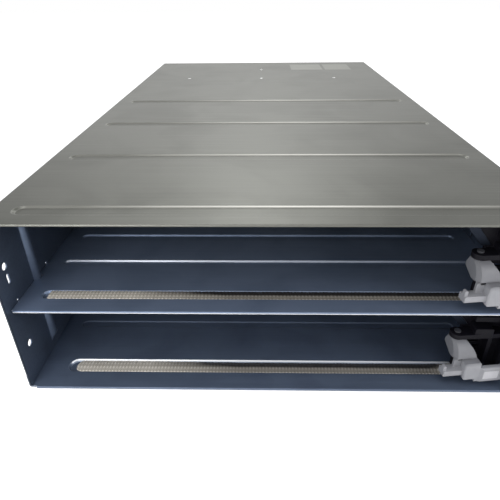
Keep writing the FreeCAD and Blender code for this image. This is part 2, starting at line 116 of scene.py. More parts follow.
coverSteel = {
    "zinc": "5f605b",
    "smudge": "555651",
    "smudgeMm": 75,
    "smudgeFrom": (0.42, 0.72),     # noise levels at which a smudge starts and is full
    "outer": "6d6f6f",              # faces that look out to the sides, duller and less blue than inside, where blue is painted shade
    "outerFromMm": 20,              # they lie at least this far from the middle
    # rubbed zinc on worn corners; the same colour is the painted highlight on noses and pressed slopes
    "bare": "d9d8d2",
    "wear": 0.3,                    # how far rubbed corners go to the rubbed-zinc colour
    "nose": 0.08,                   # painted highlight: how far the folded nose at each end goes to it
    "noseMm": 394.0,                # distance of the nose from the middle
    "noseTopMm": 900.0,             # height that its painted strip stays below
    "noseWideMm": 1.0,
    "noseBlurMm": (0.3, 0.2),       # blur of the strip along Y and upwards
    "formed": 0.75,                 # painted highlight: how far pressed slopes that look to the mouth go to the bright colour
    "formedSlope": (-0.2, -0.5),    # Y of the normal where a slope starts to be bright, and where it is
    "formedMm": (-385, 394),        # stretch along Y that has such slopes, none where its ends are equal
    "formedFadeMm": (35, 20, 190),  # middle in X, and how far to the side it starts and ends to fade
    "formedSide": 0.15,             # what is left of it at the sides
    "formedFromMm": 174.1,          # height below which only the least of it shows
    "formedLeast": 0.12,
    "grainMm": 1.4,                 # real rolling lines are about 0.2 mm, drawn coarser so that they show
    "grainLengthMm": 160,
    "grainDeepMm": 0.05,
    "grainStrength": 0.06,
    "grainRange": (0.3, 0.7),       # noise levels at which the gloss is smooth and rough
    "waveMm": 230,
    "waveDeepMm": 0.5,
    "smooth": 0.37,
    "rough": 0.44,
    "metallic": 1.0,
    "softEdgeMm": 1.3,
    "weldMm": 2.6,                  # spot welds along the side flanges, none where it is 0
    "weldFlat": 0.6,                # flat middle of a weld, as a part of its radius
    "weldDeepMm": 0.3,
    "weldStrength": 0.6,
    "weldPitchMm": 98.5,
    "weldUpMm": 167.5,
    "film": "777872",
    "films": (((88, 328.5), (64, 68)), ((151.5, 328.5), (53, 68))),  # blank films: middle, size in mm
    "filmDeepMm": 0.3,
}
# inside the bays the steel colours are darker and bluer than the cover's: painted bluish shade
traySteel = dict(
    coverSteel, zinc="616e83", smudge="576378", smudgeMm=55, bare="e6e9ec", nose=1.0, noseTopMm=0.6,
    formed=1.0, formedMm=(-385, -350), formedFadeMm=(-120, 40, 330), formedSide=0.45, formedFromMm=2.3,
    grainLengthMm=140, waveMm=200, waveDeepMm=0.4, smooth=0.42, rough=0.56, metallic=0.55, softEdgeMm=0.9,
    weldUpMm=9.4, films=())
shelfSteel = dict(
    traySteel, zinc="7786a0", smudge="6b7a93", noseMm=387.0, noseTopMm=86.6,
    formed=0.55, formedMm=(-330, -275), formedFadeMm=(-120, 10, 330), formedSide=0.2, formedFromMm=-1.0,
    weldMm=0.0)
wallSteel = dict(  # cut front edge without zinc is dark here; like the rest of the wall its colour holds painted bluish shade
    traySteel, zinc="5f6b7e", smudge="566173", bare="363e4a", wear=0.1, noseTopMm=900.0, formedMm=(0, 0),
    metallic=0.8, weldMm=0.0)
# near-black copy of the wall steel for the folded edge beside each latch housing: painted shade
edgeSteel = dict(wallSteel, zinc="202632", smudge="1a202a", bare="424c5c", nose=0.0)


def paintedLightAndWear(tree, look, axes, facing, edge):  # how far rubbed corners are worn, and how far noses and pressed slopes carry painted light, a highlight on most and shade on the walls' front edge
    rub = addNode(tree, "Math", {"operation": "MULTIPLY", 1: look["wear"]}, {0: edge})
    reach = addNode(tree, "Math", {"operation": "ABSOLUTE"}, {0: axes.outputs["Y"]})
    start, top = look["noseMm"] - look["noseWideMm"], look["noseTopMm"]
    blurY, blurZ = look["noseBlurMm"]
    fold = addNode(tree, "MapRange", {"From Min": mm(start - blurY), "From Max": mm(start + blurY),
                                      "To Max": look["nose"]}, {"Value": reach})
    under = addNode(tree, "MapRange", {"From Min": mm(top + blurZ), "From Max": mm(top - blurZ)},
                    {"Value": axes.outputs["Z"]})
    nose = addNode(tree, "Math", {"operation": "MULTIPLY"}, {0: fold, 1: under})
    bare = addNode(tree, "Math", {"operation": "MAXIMUM"}, {0: rub, 1: nose})
    first, last = look["formedMm"]
    if first == last:
        return bare
    # painted highlight on pressed slopes that look to the mouth, strongest at the middle in X and fading to
    # the sides
    gentle, steep = look["formedSlope"]
    slope = addNode(tree, "MapRange", {"From Min": gentle, "From Max": steep},
                    {"Value": facing.outputs["Y"]})
    middle, half = mm(first + last) / 2, mm(last - first) / 2
    within = addNode(tree, "Math", {"operation": "COMPARE", 1: middle, 2: half}, {0: axes.outputs["Y"]})
    centre, near, far = look["formedFadeMm"]
    shift = addNode(tree, "Math", {"operation": "SUBTRACT", 1: mm(centre)}, {0: axes.outputs["X"]})
    aside = addNode(tree, "Math", {"operation": "ABSOLUTE"}, {0: shift})
    fade = addNode(tree, "MapRange", {"From Min": mm(near), "From Max": mm(far), "To Min": look["formed"],
                                      "To Max": look["formed"] * look["formedSide"]}, {"Value": aside})
    high = addNode(tree, "Math", {"operation": "GREATER_THAN", 1: mm(look["formedFromMm"])},
                   {0: axes.outputs["Z"]})
    upper = addNode(tree, "Math", {"operation": "MULTIPLY"}, {0: fade, 1: high})
    share = addNode(tree, "Math", {"operation": "MAXIMUM", 1: look["formedLeast"]}, {0: upper})
    pressed = addNode(tree, "Math", {"operation": "MULTIPLY"}, {0: slope, 1: within})
    slopeHighlightAmount = addNode(tree, "Math", {"operation": "MULTIPLY"}, {0: pressed, 1: share})
    return addNode(tree, "Math", {"operation": "MAXIMUM"}, {0: bare, 1: slopeHighlightAmount})


def blankFilm(tree, look, place, middle, size, colour):  # lays a film on the top of the cover
    at = (mm(middle[0]), mm(middle[1]), cadBox[1].z)
    half = (mm(size[0] / 2), mm(size[1] / 2), mm(look["filmDeepMm"]))
    shift = addNode(tree, "VectorMath", {"operation": "SUBTRACT", 1: at}, {0: place})
    away = addNode(tree, "VectorMath", {"operation": "ABSOLUTE"}, {0: shift})
    over = addNode(tree, "VectorMath", {"operation": "SUBTRACT", 1: half}, {0: away})
    sides = addNode(tree, "SeparateXYZ", {}, {"Vector": over})
    level = addNode(tree, "Math", {"operation": "MAXIMUM"}, {0: sides.outputs["X"], 1: sides.outputs["Y"]})
    outside = addNode(tree, "Math", {"operation": "MAXIMUM"}, {0: level, 1: sides.outputs["Z"]})
    covered = addNode(tree, "Math", {"operation": "LESS_THAN", 1: 0.0}, {0: outside})
    return addNode(tree, "Mix", {"data_type": "RGBA", 7: linear(look["film"])}, {0: covered, 6: colour})


def weldDents(tree, look, axes, normal):  # a row of round dents along each flange
    half, radius = mm(look["weldPitchMm"]) / 2, mm(look["weldMm"])
    along = addNode(tree, "Math", {"operation": "WRAP", 1: half, 2: -half}, {0: axes.outputs["Y"]})
    lift = addNode(tree, "Math", {"operation": "SUBTRACT", 1: mm(look["weldUpMm"])}, {0: axes.outputs["Z"]})
    spot = addNode(tree, "CombineXYZ", {}, {"X": along, "Y": lift})
    away = addNode(tree, "VectorMath", {"operation": "LENGTH"}, {0: spot})
    dent = addNode(tree, "MapRange", {"From Min": radius * look["weldFlat"], "From Max": radius},
                   {"Value": away})
    return addNode(tree, "Bump", {"Strength": look["weldStrength"], "Distance": mm(look["weldDeepMm"])},
                   {"Height": dent, "Normal": normal})


def zincSteelRolled(name, look):
    material, tree, shader, place = startMaterial(name)
    length, across = 1 / mm(look["grainLengthMm"]), 1 / mm(look["grainMm"])
    stretched = addNode(tree, "Mapping", {"Scale": (length, across, across)}, {"Vector": place})
    grain = addNode(tree, "TexNoise", {"Scale": 1.0, "Detail": 3.0}, {"Vector": stretched})
    hands = addNode(tree, "TexNoise", {"Scale": 1 / mm(look["smudgeMm"]), "Detail": 4.0, "Distortion": 0.6},
                    {"Vector": place})
    faint, full = look["smudgeFrom"]
    smudge = addNode(tree, "MapRange", {"From Min": faint, "From Max": full}, {"Value": hands})
    edge, soft = wornEdges(tree, mm(look["softEdgeMm"]))
    axes = addNode(tree, "SeparateXYZ", {}, {"Vector": place})
    facing = addNode(tree, "SeparateXYZ", {}, {"Vector": addNode(tree, "NewGeometry").outputs["Normal"]})
    tone = addNode(tree, "Mix", {"data_type": "RGBA", 6: linear(look["zinc"]), 7: linear(look["smudge"])},
                   {0: smudge})
    outward = addNode(tree, "Math", {"operation": "MULTIPLY"},
                      {0: facing.outputs["X"], 1: axes.outputs["X"]})
    outer = addNode(tree, "Math", {"operation": "GREATER_THAN", 1: mm(look["outerFromMm"])}, {0: outward})
    shown = addNode(tree, "Mix", {"data_type": "RGBA", 7: linear(look["outer"])}, {0: outer, 6: tone})
    bare = paintedLightAndWear(tree, look, axes, facing, edge)
    colour = addNode(tree, "Mix", {"data_type": "RGBA", 7: linear(look["bare"])}, {0: bare, 6: shown})
    for middle, size in look["films"]:
        colour = blankFilm(tree, look, place, middle, size, colour)
    least, most = look["grainRange"]
    gloss = addNode(tree, "MapRange", {"From Min": least, "From Max": most, "To Min": look["smooth"],
                                       "To Max": look["rough"]}, {"Value": grain})
    wave = addNode(tree, "TexNoise", {"Scale": 1 / mm(look["waveMm"]), "Detail": 1.0}, {"Vector": place})
    normal = addNode(tree, "Bump", {"Strength": 1.0, "Distance": mm(look["waveDeepMm"])},
                     {"Height": wave, "Normal": soft})
    if look["weldMm"]:
        normal = weldDents(tree, look, axes, normal)
    lines = addNode(tree, "Bump", {"Strength": look["grainStrength"], "Distance": mm(look["grainDeepMm"])},
                    {"Height": grain, "Normal": normal})
    shader.inputs["Metallic"].default_value = look["metallic"]
    tree.links.new(colour.outputs[2], shader.inputs["Base Color"])
    tree.links.new(gloss.outputs["Result"], shader.inputs["Roughness"])
    tree.links.new(lines.outputs["Normal"], shader.inputs["Normal"])
    return material


# moulded plastics: a spark-eroded mould leaves a fine even grain, and hands polish the corners

leverPlastic = {
    "base": "9fa0a5",
    "shade": "909197",
    "worn": "b4b5b9",
    "grainMm": 0.7,                 # real grain is about 0.1 mm, drawn coarser so that it shows
    "grainDeepMm": 0.08,
    "patchMm": 9,
    "patchRange": (0.25, 0.75),     # noise levels at which the gloss is smooth and rough
    "roughness": 0.46,
    "roughnessSpread": 0.07,
    "specular": 0.5,
    "edgeMm": 0.9,
    "pin": "3c3d42",                # head of the pivot, moulded on the lever, drawn dark as painted shade
    "pinDownMm": 2.15,              # its foot, below the point that the joint turns about
    "hood": "76777c",               # painted shade: hood around the pivot, drawn darker under the latch plate
    "hoodDownMm": 19.0,             # its foot, below the foot of the head
    "hoodBlurMm": 2,
    "hoodDull": 0.9,
    "holeMm": 0.0,                  # radius of the contact holes, none on a lever
}
# on the black housing the rubbed corners are lighter than wear alone: partly wear, partly painted highlight
# along its edges
housingPlastic = dict(leverPlastic, base="131219", shade="0e0d13", worn="34343c", patchMm=12, roughness=0.55,
                      specular=0.15, edgeMm=0.6)
socketPlastic = dict(
    leverPlastic, base="2b2a28", shade="232220", worn="4a4946", roughness=0.42, edgeMm=0.4,
    # hole is the painted shade inside each contact hole, contact the metal in it
    holeMm=0.55, pitchMm=2.0, hole="060606", contact="8f7430",
    holeFull=0.85,                  # where a hole's painted shade is full, as a part of its radius
    contactFrom=(0.6, 0.4),         # where the contact in it starts and is full
    frontFrom=-0.9)                 # Y of the normal from which a face looks to the mouth
powerPlastic = dict(socketPlastic, base="37352f", shade="2d2b27", holeMm=1.7, pitchMm=6.0)


def leverPaintedShade(tree, look, place, pinFrom, colour):  # painted shade: a darker hood and a dark head of the pivot, by height
    height = addNode(tree, "SeparateXYZ", {}, {"Vector": place}).outputs["Z"]
    hoodFrom, blur = pinFrom - mm(look["hoodDownMm"]), mm(look["hoodBlurMm"])
    hood = addNode(tree, "MapRange", {"From Min": hoodFrom - blur, "From Max": hoodFrom + blur,
                                      "To Max": look["hoodDull"]}, {"Value": height})
    hoodShaded = addNode(tree, "Mix", {"data_type": "RGBA", 7: linear(look["hood"])}, {0: hood, 6: colour})
    pin = addNode(tree, "Math", {"operation": "GREATER_THAN", 1: pinFrom}, {0: height})
    return addNode(tree, "Mix", {"data_type": "RGBA", 7: linear(look["pin"])}, {0: pin, 6: hoodShaded})


def contactHoles(tree, look, place, colour):  # a grid of them, on the face that looks to the mouth; each hole's dark is painted shade
    half, radius = mm(look["pitchMm"]) / 2, mm(look["holeMm"])
    cell = addNode(tree, "VectorMath", {"operation": "WRAP", 1: (half,) * 3, 2: (-half,) * 3}, {0: place})
    flat = addNode(tree, "VectorMath", {"operation": "MULTIPLY", 1: (1, 0, 1)}, {0: cell})
    away = addNode(tree, "VectorMath", {"operation": "LENGTH"}, {0: flat})
    hole = addNode(tree, "MapRange", {"From Min": radius, "From Max": radius * look["holeFull"]},
                   {"Value": away})
    start, full = (radius * part for part in look["contactFrom"])
    metal = addNode(tree, "MapRange", {"From Min": start, "From Max": full}, {"Value": away})
    facing = addNode(tree, "SeparateXYZ", {}, {"Vector": addNode(tree, "NewGeometry").outputs["Normal"]})
    front = addNode(tree, "Math", {"operation": "LESS_THAN", 1: look["frontFrom"]}, {0: facing.outputs["Y"]})
    shown = addNode(tree, "Math", {"operation": "MULTIPLY"}, {0: hole, 1: front})
    inside = addNode(tree, "Mix", {"data_type": "RGBA", 6: linear(look["hole"]), 7: linear(look["contact"])},
                     {0: metal})
    return addNode(tree, "Mix", {"data_type": "RGBA"}, {0: shown, 6: colour, 7: inside})


def mouldedPlastic(name, look, pinFrom=None):  # pinFrom is the height of the foot of a lever's pivot head
    material, tree, shader, place = startMaterial(name)
    grain = addNode(tree, "TexNoise", {"Scale": 1 / mm(look["grainMm"]), "Detail": 2.0}, {"Vector": place})
    patch = addNode(tree, "TexNoise", {"Scale": 1 / mm(look["patchMm"]), "Detail": 3.0}, {"Vector": place})
    edge, soft = wornEdges(tree, mm(look["edgeMm"]))
    rub = addNode(tree, "Math", {"operation": "MULTIPLY"}, {0: edge, 1: patch})
    tone = addNode(tree, "Mix", {"data_type": "RGBA", 6: linear(look["base"]), 7: linear(look["shade"])},
                   {0: patch})
    colour = addNode(tree, "Mix", {"data_type": "RGBA", 7: linear(look["worn"])}, {0: rub, 6: tone})
    if pinFrom:
        colour = leverPaintedShade(tree, look, place, pinFrom, colour)
    if look["holeMm"]:
        colour = contactHoles(tree, look, place, colour)
    smooth, rough = look["roughness"] - look["roughnessSpread"], look["roughness"] + look["roughnessSpread"]
    least, most = look["patchRange"]
    gloss = addNode(tree, "MapRange", {"From Min": least, "From Max": most, "To Min": smooth,
                                       "To Max": rough}, {"Value": patch})
    bump = addNode(tree, "Bump", {"Strength": 0.25, "Distance": mm(look["grainDeepMm"])},
                   {"Height": grain, "Normal": soft})
    shader.inputs["Specular IOR Level"].default_value = look["specular"]
    tree.links.new(colour.outputs[2], shader.inputs["Base Color"])
    tree.links.new(gloss.outputs["Result"], shader.inputs["Roughness"])
    tree.links.new(bump.outputs["Normal"], shader.inputs["Normal"])
    return material


# turned and headed steel: bright plating with fine turning marks

brightSteel = {
    "plate": "f0f1f1",
    "dull": "cfd1d2",
    "markMm": 0.5,
    "markDeepMm": 0.03,
    "smooth": 0.18,
    "rough": 0.34,
}


def platedSteelTurned(name, look):
    material, tree, shader, place = startMaterial(name)
    marks = addNode(tree, "TexNoise", {"Scale": 1 / mm(look["markMm"]), "Detail": 2.0}, {"Vector": place})
    tone = addNode(tree, "Mix", {"data_type": "RGBA", 6: linear(look["plate"]), 7: linear(look["dull"])},
                   {0: marks})
    gloss = addNode(tree, "MapRange", {"To Min": look["smooth"], "To Max": look["rough"]}, {"Value": marks})
    bump = addNode(tree, "Bump", {"Strength": 0.1, "Distance": mm(look["markDeepMm"])}, {"Height": marks})
    shader.inputs["Metallic"].default_value = 1.0
    tree.links.new(tone.outputs[2], shader.inputs["Base Color"])
    tree.links.new(gloss.outputs["Result"], shader.inputs["Roughness"])
    tree.links.new(bump.outputs["Normal"], shader.inputs["Normal"])
    return material


# glass epoxy board under solder mask: glossy green with faint copper runs below the lacquer

boardMask = {
    "mask": "1f4a34",
    "copper": "3d6b44",
    "runMm": 1.6,                   # pitch of the runs
    "runLengthMm": 26,
    "runWide": 0.2,                 # width of a run, as a part of the pitch
    "runDeepMm": 0.05,
    "roughness": 0.32,
}


def solderMaskCoated(name, look):
    material, tree, shader, place = startMaterial(name)
    pitch, mask = mm(look["runMm"]), linear(look["mask"])
    turned = addNode(tree, "Mapping", {"Rotation": (math.pi / 2, 0, 0)}, {"Vector": place})
    runs = addNode(tree, "TexBrick", {"Scale": 1.0, "Mortar Size": pitch * look["runWide"],
                                      "Brick Width": mm(look["runLengthMm"]), "Row Height": pitch,
                                      "Color1": mask, "Color2": mask, "Mortar": linear(look["copper"])},
                   {"Vector": turned})
    bump = addNode(tree, "Bump", {"Strength": 0.2, "Distance": mm(look["runDeepMm"])},
                   {"Height": runs.outputs["Fac"]})
    shader.inputs["Roughness"].default_value = look["roughness"]
    tree.links.new(runs.outputs["Color"], shader.inputs["Base Color"])
    tree.links.new(bump.outputs["Normal"], shader.inputs["Normal"])
    return material


# metallised cloth over foam: tan threads with a metal sheen, dulled in blotches by handling

gasketCloth = {
    "thread": "f5f0e7",
    # colour of the painted shade in the valleys of the weave
    "valley": "9a9386",
    # colour of the painted shade on the pressed stretch
    "soil": "2a2828",
    "threadMm": 0.9,                # real threads are about 0.2 mm, drawn coarser so that they show
    "threadDeepMm": 0.1,
    "wavesPerThread": 0.31,
    "blotchMm": 30,
    "blotch": 0.5,                  # how far blotches darken the threads
    "roughness": 0.55,
    "metallic": 0.25,
}


def metallisedClothWoven(name, look):  # the strips' own colour layer gives painted shade: in the valleys in red, on the pressed stretch in green
    material, tree, shader, place = startMaterial(name)
    fine = look["wavesPerThread"] / mm(look["threadMm"])
    waves = addNode(tree, "TexWave", {"bands_direction": "DIAGONAL", "Scale": fine, "Distortion": 1.2},
                    {"Vector": place})
    threads = waves.outputs["Fac"]
    blotch = addNode(tree, "TexNoise", {"Scale": 1 / mm(look["blotchMm"]), "Detail": 3.0}, {"Vector": place})
    layer = addNode(tree, "Attribute", {"attribute_name": "weave"})
    weave = addNode(tree, "SeparateColor", {}, {0: layer})
    valley, soil = weave.outputs[0], weave.outputs[1]
    worn = addNode(tree, "Math", {"operation": "MULTIPLY"}, {0: threads, 1: blotch})
    deep = addNode(tree, "Math", {"operation": "MULTIPLY_ADD", 1: look["blotch"]}, {0: worn, 2: valley})
    cloth = addNode(tree, "Mix", {"data_type": "RGBA", 6: linear(look["thread"]), 7: linear(look["valley"])},
                    {0: deep})
    tone = addNode(tree, "Mix", {"data_type": "RGBA", 7: linear(look["soil"])}, {0: soil, 6: cloth})
    bump = addNode(tree, "Bump", {"Strength": 0.5, "Distance": mm(look["threadDeepMm"])},
                   {"Height": threads})
    shader.inputs["Metallic"].default_value = look["metallic"]
    shader.inputs["Roughness"].default_value = look["roughness"]
    tree.links.new(tone.outputs[2], shader.inputs["Base Color"])
    tree.links.new(bump.outputs["Normal"], shader.inputs["Normal"])
    return material


# blank polyester film, slightly greyed, and closed-cell foam with open pores at its skin

leverFilm = {
    "base": "c8c8cd",
    "aged": "b6b6bc",
    "patchMm": 6,
    "deepMm": 0.2,
    "roughness": 0.38,
    "roughnessSpread": 0.08,
}
sealFoam = dict(leverFilm, base="101012", aged="1b1b1e", patchMm=1.2, deepMm=0.4, roughness=0.85)


def coatedSheet(name, look):
    material, tree, shader, place = startMaterial(name)
    patch = addNode(tree, "TexNoise", {"Scale": 1 / mm(look["patchMm"]), "Detail": 4.0}, {"Vector": place})
    tone = addNode(tree, "Mix", {"data_type": "RGBA", 6: linear(look["base"]), 7: linear(look["aged"])},
                   {0: patch})
    smooth, rough = look["roughness"] - look["roughnessSpread"], look["roughness"] + look["roughnessSpread"]
    gloss = addNode(tree, "MapRange", {"To Min": smooth, "To Max": rough}, {"Value": patch})
    bump = addNode(tree, "Bump", {"Strength": 0.15, "Distance": mm(look["deepMm"])}, {"Height": patch})
    tree.links.new(tone.outputs[2], shader.inputs["Base Color"])
    tree.links.new(gloss.outputs["Result"], shader.inputs["Roughness"])
    tree.links.new(bump.outputs["Normal"], shader.inputs["Normal"])
    return material


finishes = {
    "cover": zincSteelRolled("zincSteelRolledCover", coverSteel),
    "tray": zincSteelRolled("zincSteelRolledTray", traySteel),
    "shelf": zincSteelRolled("zincSteelRolledShelf", shelfSteel),
    "wall": zincSteelRolled("zincSteelRolledWall", wallSteel),
    "edge": zincSteelRolled("zincSteelFoldedEdge", edgeSteel),
    "housing": mouldedPlastic("nylonMouldedBlack", housingPlastic),
    "socket": mouldedPlastic("polymerMouldedSocket", socketPlastic),
    "power": mouldedPlastic("polymerMouldedPower", powerPlastic),
    "bright": platedSteelTurned("nickelPlatedSteelTurned", brightSteel),
    "board": solderMaskCoated("glassEpoxySolderMask", boardMask),
    "cloth": metallisedClothWoven("metallisedClothWoven", gasketCloth),
    "leverFilm": coatedSheet("polyesterFilmWhite", leverFilm),
    "foam": coatedSheet("neopreneFoamBlack", sealFoam),
}
for joint in frame["joints"]:
    level = joint["child"].split("_")[0]
    pinFrom = joint["pos_m"][2] - mm(leverPlastic["pinDownMm"])
    finishes[level + "Lever"] = mouldedPlastic("absMouldedGrey" + level.title(), leverPlastic, pinFrom)
nodeFinish = {
    "top_cover": "cover",
    "floor_tray": "tray",
    "left_wall": "wall",
    "right_wall": "wall",
    "bay_shelf": "shelf",
    "far_shelf": "shelf",
    "midplane_bulkhead": "wall",
    "midplane_board": "board",
    "midplane_standoffs": "bright",
    "guide_pins": "bright",
    "cover_screws": "bright",
}
for level in levels:
    nodeFinish[level + "_centre_wall"] = "wall"
    nodeFinish[level + "_gasket"] = "cloth"
    nodeFinish[level + "_signal_sockets"] = "socket"
    nodeFinish[level + "_power_socket"] = "power"
    nodeFinish[level + "_latch_housing"] = "housing"
    nodeFinish[level + "_lever"] = level + "Lever"
for name, finish in nodeFinish.items():
    nodes[name].data.materials.clear()
    nodes[name].data.materials.append(finishes[finish])
print("finishes:", len(finishes), "on", len(nodeFinish), "nodes")


def ringFaces(rings, count):  # faces of a closed form that is made of rings of count points each
    faces = []
    for k in range(rings - 1):
        for i in range(count):
            j = (i + 1) % count
            faces.append((k * count + i, k * count + j, (k + 1) * count + j, (k + 1) * count + i))
    faces.append(tuple(range((rings - 1) * count, rings * count)))
    faces.append(tuple(reversed(range(count))))
    return faces


def addPiece(name, points, faces, finish, body, smooth=False):
    mesh = bpy.data.meshes.new(name)
    mesh.from_pydata(points, [], faces)
    shape = bmesh.new()
    shape.from_mesh(mesh)
    bmesh.ops.recalc_face_normals(shape, faces=shape.faces)
    shape.to_mesh(mesh)
    shape.free()
    for face in mesh.polygons:
        face.use_smooth = smooth
    mesh.materials.append(finishes[finish])
    piece = bpy.data.objects.new(name, mesh)
    bpy.context.scene.collection.objects.link(piece)
    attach(piece, body)
    return piece


# gasket strips: crowned, with the cross ribs and rows of their knitted cover, pressed down in use

upperStrip = {
    "riseMm": 0.6,                  # crown above the bay floor
    "slopeMm": 1.6,                 # how far the foot is narrower than the rim
    "footMm": 0.05,                 # gaps under the foot and under the deepest point of the top
    "leastMm": 0.2,
    "ribMm": 3.2,
    "ribDeepMm": 0.35,
    "rows": 3,
    "rowDeepMm": 0.2,
    "farMm": 0.0,                   # how far the far rim is lower than the crown
    "pressedMm": 0.1,               # how far the far half is flattened
    "pressedFrom": -0.62,           # where along the strip that starts and ends, from -1 to 1
    "pressedTo": 0.97,
    "pressedRamp": (2.2, 8),        # how fast it comes and goes
    "pressedAcross": (1.6, 0.35),   # how fast it grows towards the far rim, and its value at the middle
    "limp": 0.3,                    # uneven pressing
    "limpPerMetre": 60,
    "limpSeed": 7.0,
    "endRoundMm": 0.0,              # round end seen from above, none on a strip that is cut straight
    "endLeast": 0.35,               # width left at the very end
    "valley": 0.6,                  # painted shade between the ribs and rows and on the sides
    "sideValley": 0.75,
    "soil": (0.85, 0.62),           # painted shade: how far the flattened part and the whole pressed stretch are darkened
    "perRib": 6,
    "acrossSteps": 18,
}
lowerStrip = dict(upperStrip, farMm=1.2, pressedMm=1.0, limpSeed=1.0, endRoundMm=6.5)


def clamp(value):
    return max(0.0, min(1.0, value))


def makeGasket(level, look):
    low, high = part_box(level + "_gasket")
    top = high.z - mm(look["riseMm"])
    middle, rim = (low.y + high.y) / 2, (high.y - low.y) / 2
    count = int((high.x - low.x) / mm(look["ribMm"]) * look["perRib"])
    steps = look["acrossSteps"]
    rampIn, rampOut = look["pressedRamp"]
    growth, half = look["pressedAcross"]
    shadeFlat, shadeStretch = look["soil"]
    points, weave = [], []
    for i in range(count + 1):
        along = 2 * i / count - 1
        x = low.x + (high.x - low.x) * i / count
        swell = 0.5 - 0.5 * math.cos(2 * math.pi * (x - low.x) / mm(look["ribMm"]))
        fade = clamp(min(rampIn * (along - look["pressedFrom"]), rampOut * (look["pressedTo"] - along)))
        wide = rim
        if look["endRoundMm"]:
            inner = min(1.0, min(x - low.x, high.x - x) / mm(look["endRoundMm"]))
            wide *= look["endLeast"] + (1 - look["endLeast"]) * math.sqrt(1 - (1 - inner) ** 2)
        limp = 1 + look["limp"] * noise.noise(Vector((x * look["limpPerMetre"], 3.0, look["limpSeed"])))
        for j in range(steps + 1):
            v = 2 * j / steps - 1  # from the near rim to the far one
            row = 0.5 + 0.5 * math.cos(math.pi * (v + 1) * look["rows"])
            flat = fade * clamp(growth * v + half) * limp
            sink = mm(look["ribDeepMm"]) * (1 - swell) + mm(look["rowDeepMm"]) * (1 - row)
            sink += mm(look["pressedMm"]) * flat + mm(look["farMm"]) * max(0.0, v) ** 1.5
            height = top + mm(look["riseMm"]) * (1 - v * v) - sink
            points.append((x, middle + v * wide, max(height, low.z + mm(look["leastMm"]))))
            # painted shade: valleys between ribs and rows in red, the pressed stretch in green
            soil = min(1.0, shadeFlat * flat + shadeStretch * fade)
            weave.append((look["valley"] * (1 - swell * row), soil, 0.0, 1.0))
        for v in (1, -1):
            points.append((x, middle + v * (wide - mm(look["slopeMm"])), low.z + mm(look["footMm"])))
            weave.append((look["sideValley"], 0.0, 0.0, 1.0))
    faces = ringFaces(count + 1, steps + 3)
    piece = addPiece(level + "GasketStrip", points, faces, "cloth", "chassis", smooth=True)
    paint = piece.data.color_attributes.new("weave", "FLOAT_COLOR", "POINT")
    for i, value in enumerate(weave):
        paint.data[i].color = value
    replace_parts(piece, level + "_gasket")


makeGasket("lower", lowerStrip)
makeGasket("upper", upperStrip)
print("gaskets woven")


# screw heads with a six-lobed recess; a cover screw is flush, so it has no height

coverScrew = {
    "radiusMm": 2.6,
    "highMm": 0.0,
    "shankMm": 0.6,
    "recessMm": 1.2,
    "recessDeepMm": 0.9,
    "edgeMm": 0.05,                 # broken edges of the head and of the recess
    "recessEdgeMm": 0.1,
    "crown": ((0.93, 0.8), (0.8, 1.0)),  # rounded top, in parts of the radius and of the height
    "edgeUp": 0.35,                 # where it starts
    "recessFlare": 1.1,             # recess at its mouth and its floor, as parts of its radius
    "recessTaper": 0.9,
    "lobes": 0.12,
    "lobeCount": 6,
    "segments": 36,
}
boardScrew = dict(coverScrew, radiusMm=3.0, highMm=1.8, shankMm=0.0, recessMm=1.3, recessDeepMm=1.2)
latchScrew = dict(coverScrew, radiusMm=2.8, highMm=1.1, shankMm=0.0, recessDeepMm=0.8)


def headPoints(look, place, turn):  # rings of radius, height and depth of the lobes, about a turned Z axis
    r, h, recess = mm(look["radiusMm"]), mm(look["highMm"]), mm(look["recessMm"])
    rings = [(r, -mm(look["shankMm"]), 0), (r, h * look["edgeUp"] - mm(look["edgeMm"]), 0)]
    rings += [(r * across, h * up, 0) for across, up in look["crown"]]
    rings += [(recess * look["recessFlare"], h, look["lobes"]),
              (recess, h - mm(look["recessEdgeMm"]), look["lobes"]),
              (recess * look["recessTaper"], h - mm(look["recessDeepMm"]), look["lobes"])]
    points = []
    for radius, height, lobes in rings:
        for i in range(look["segments"]):
            angle = 2 * math.pi * i / look["segments"]
            lobed = radius * (1 + lobes * math.cos(look["lobeCount"] * angle))
            points.append(place + turn @ Vector((lobed * math.cos(angle), lobed * math.sin(angle), height)))
    return points, len(rings)


def addScrews(name, look, places, turn):  # one piece of several equal heads
    points, faces = [], []
    for place in places:
        headOnly, rings = headPoints(look, Vector(place), turn)
        faces += [tuple(i + len(points) for i in face) for face in ringFaces(rings, look["segments"])]
        points += headOnly
    return addPiece(name, points, faces, "bright", "chassis")


upright = Matrix.Identity(3)
toMouth = Matrix.Rotation(math.pi / 2, 3, "X")
toRight = Matrix.Rotation(math.pi / 2, 3, "Y")
screwPlaces = {
    "coverMm": ((-140, 203), (-5, 203), (130, 203), (-5, 299)),
    "boardInMm": 6,                 # in from the corners of the board
    "latchInMm": 7,                 # in from the far edge of a latch housing
    "latchUpMm": 13,                # in from its foot and its top
}
coverPlaces = [(mm(x), mm(y), cadBox[1].z) for x, y in screwPlaces["coverMm"]]
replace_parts(addScrews("coverScrewHeads", coverScrew, coverPlaces, upright), "cover_screws")
boardLow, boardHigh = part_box("midplane_board")
boardIn = mm(screwPlaces["boardInMm"])
boardPlaces = [(x, boardLow.y, z) for x in (boardLow.x + boardIn, boardHigh.x - boardIn)
               for z in (boardLow.z + boardIn, boardHigh.z - boardIn)]
addScrews("boardScrewHeads", boardScrew, boardPlaces, toMouth)
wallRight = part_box("right_wall")[1].x
latchPlaces = []
for level in levels:
    low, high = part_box(level + "_latch_housing")
    for z in (low.z + mm(screwPlaces["latchUpMm"]), high.z - mm(screwPlaces["latchUpMm"])):
        latchPlaces.append((wallRight, high.y - mm(screwPlaces["latchInMm"]), z))
addScrews("latchScrewHeads", latchScrew, latchPlaces, toRight)
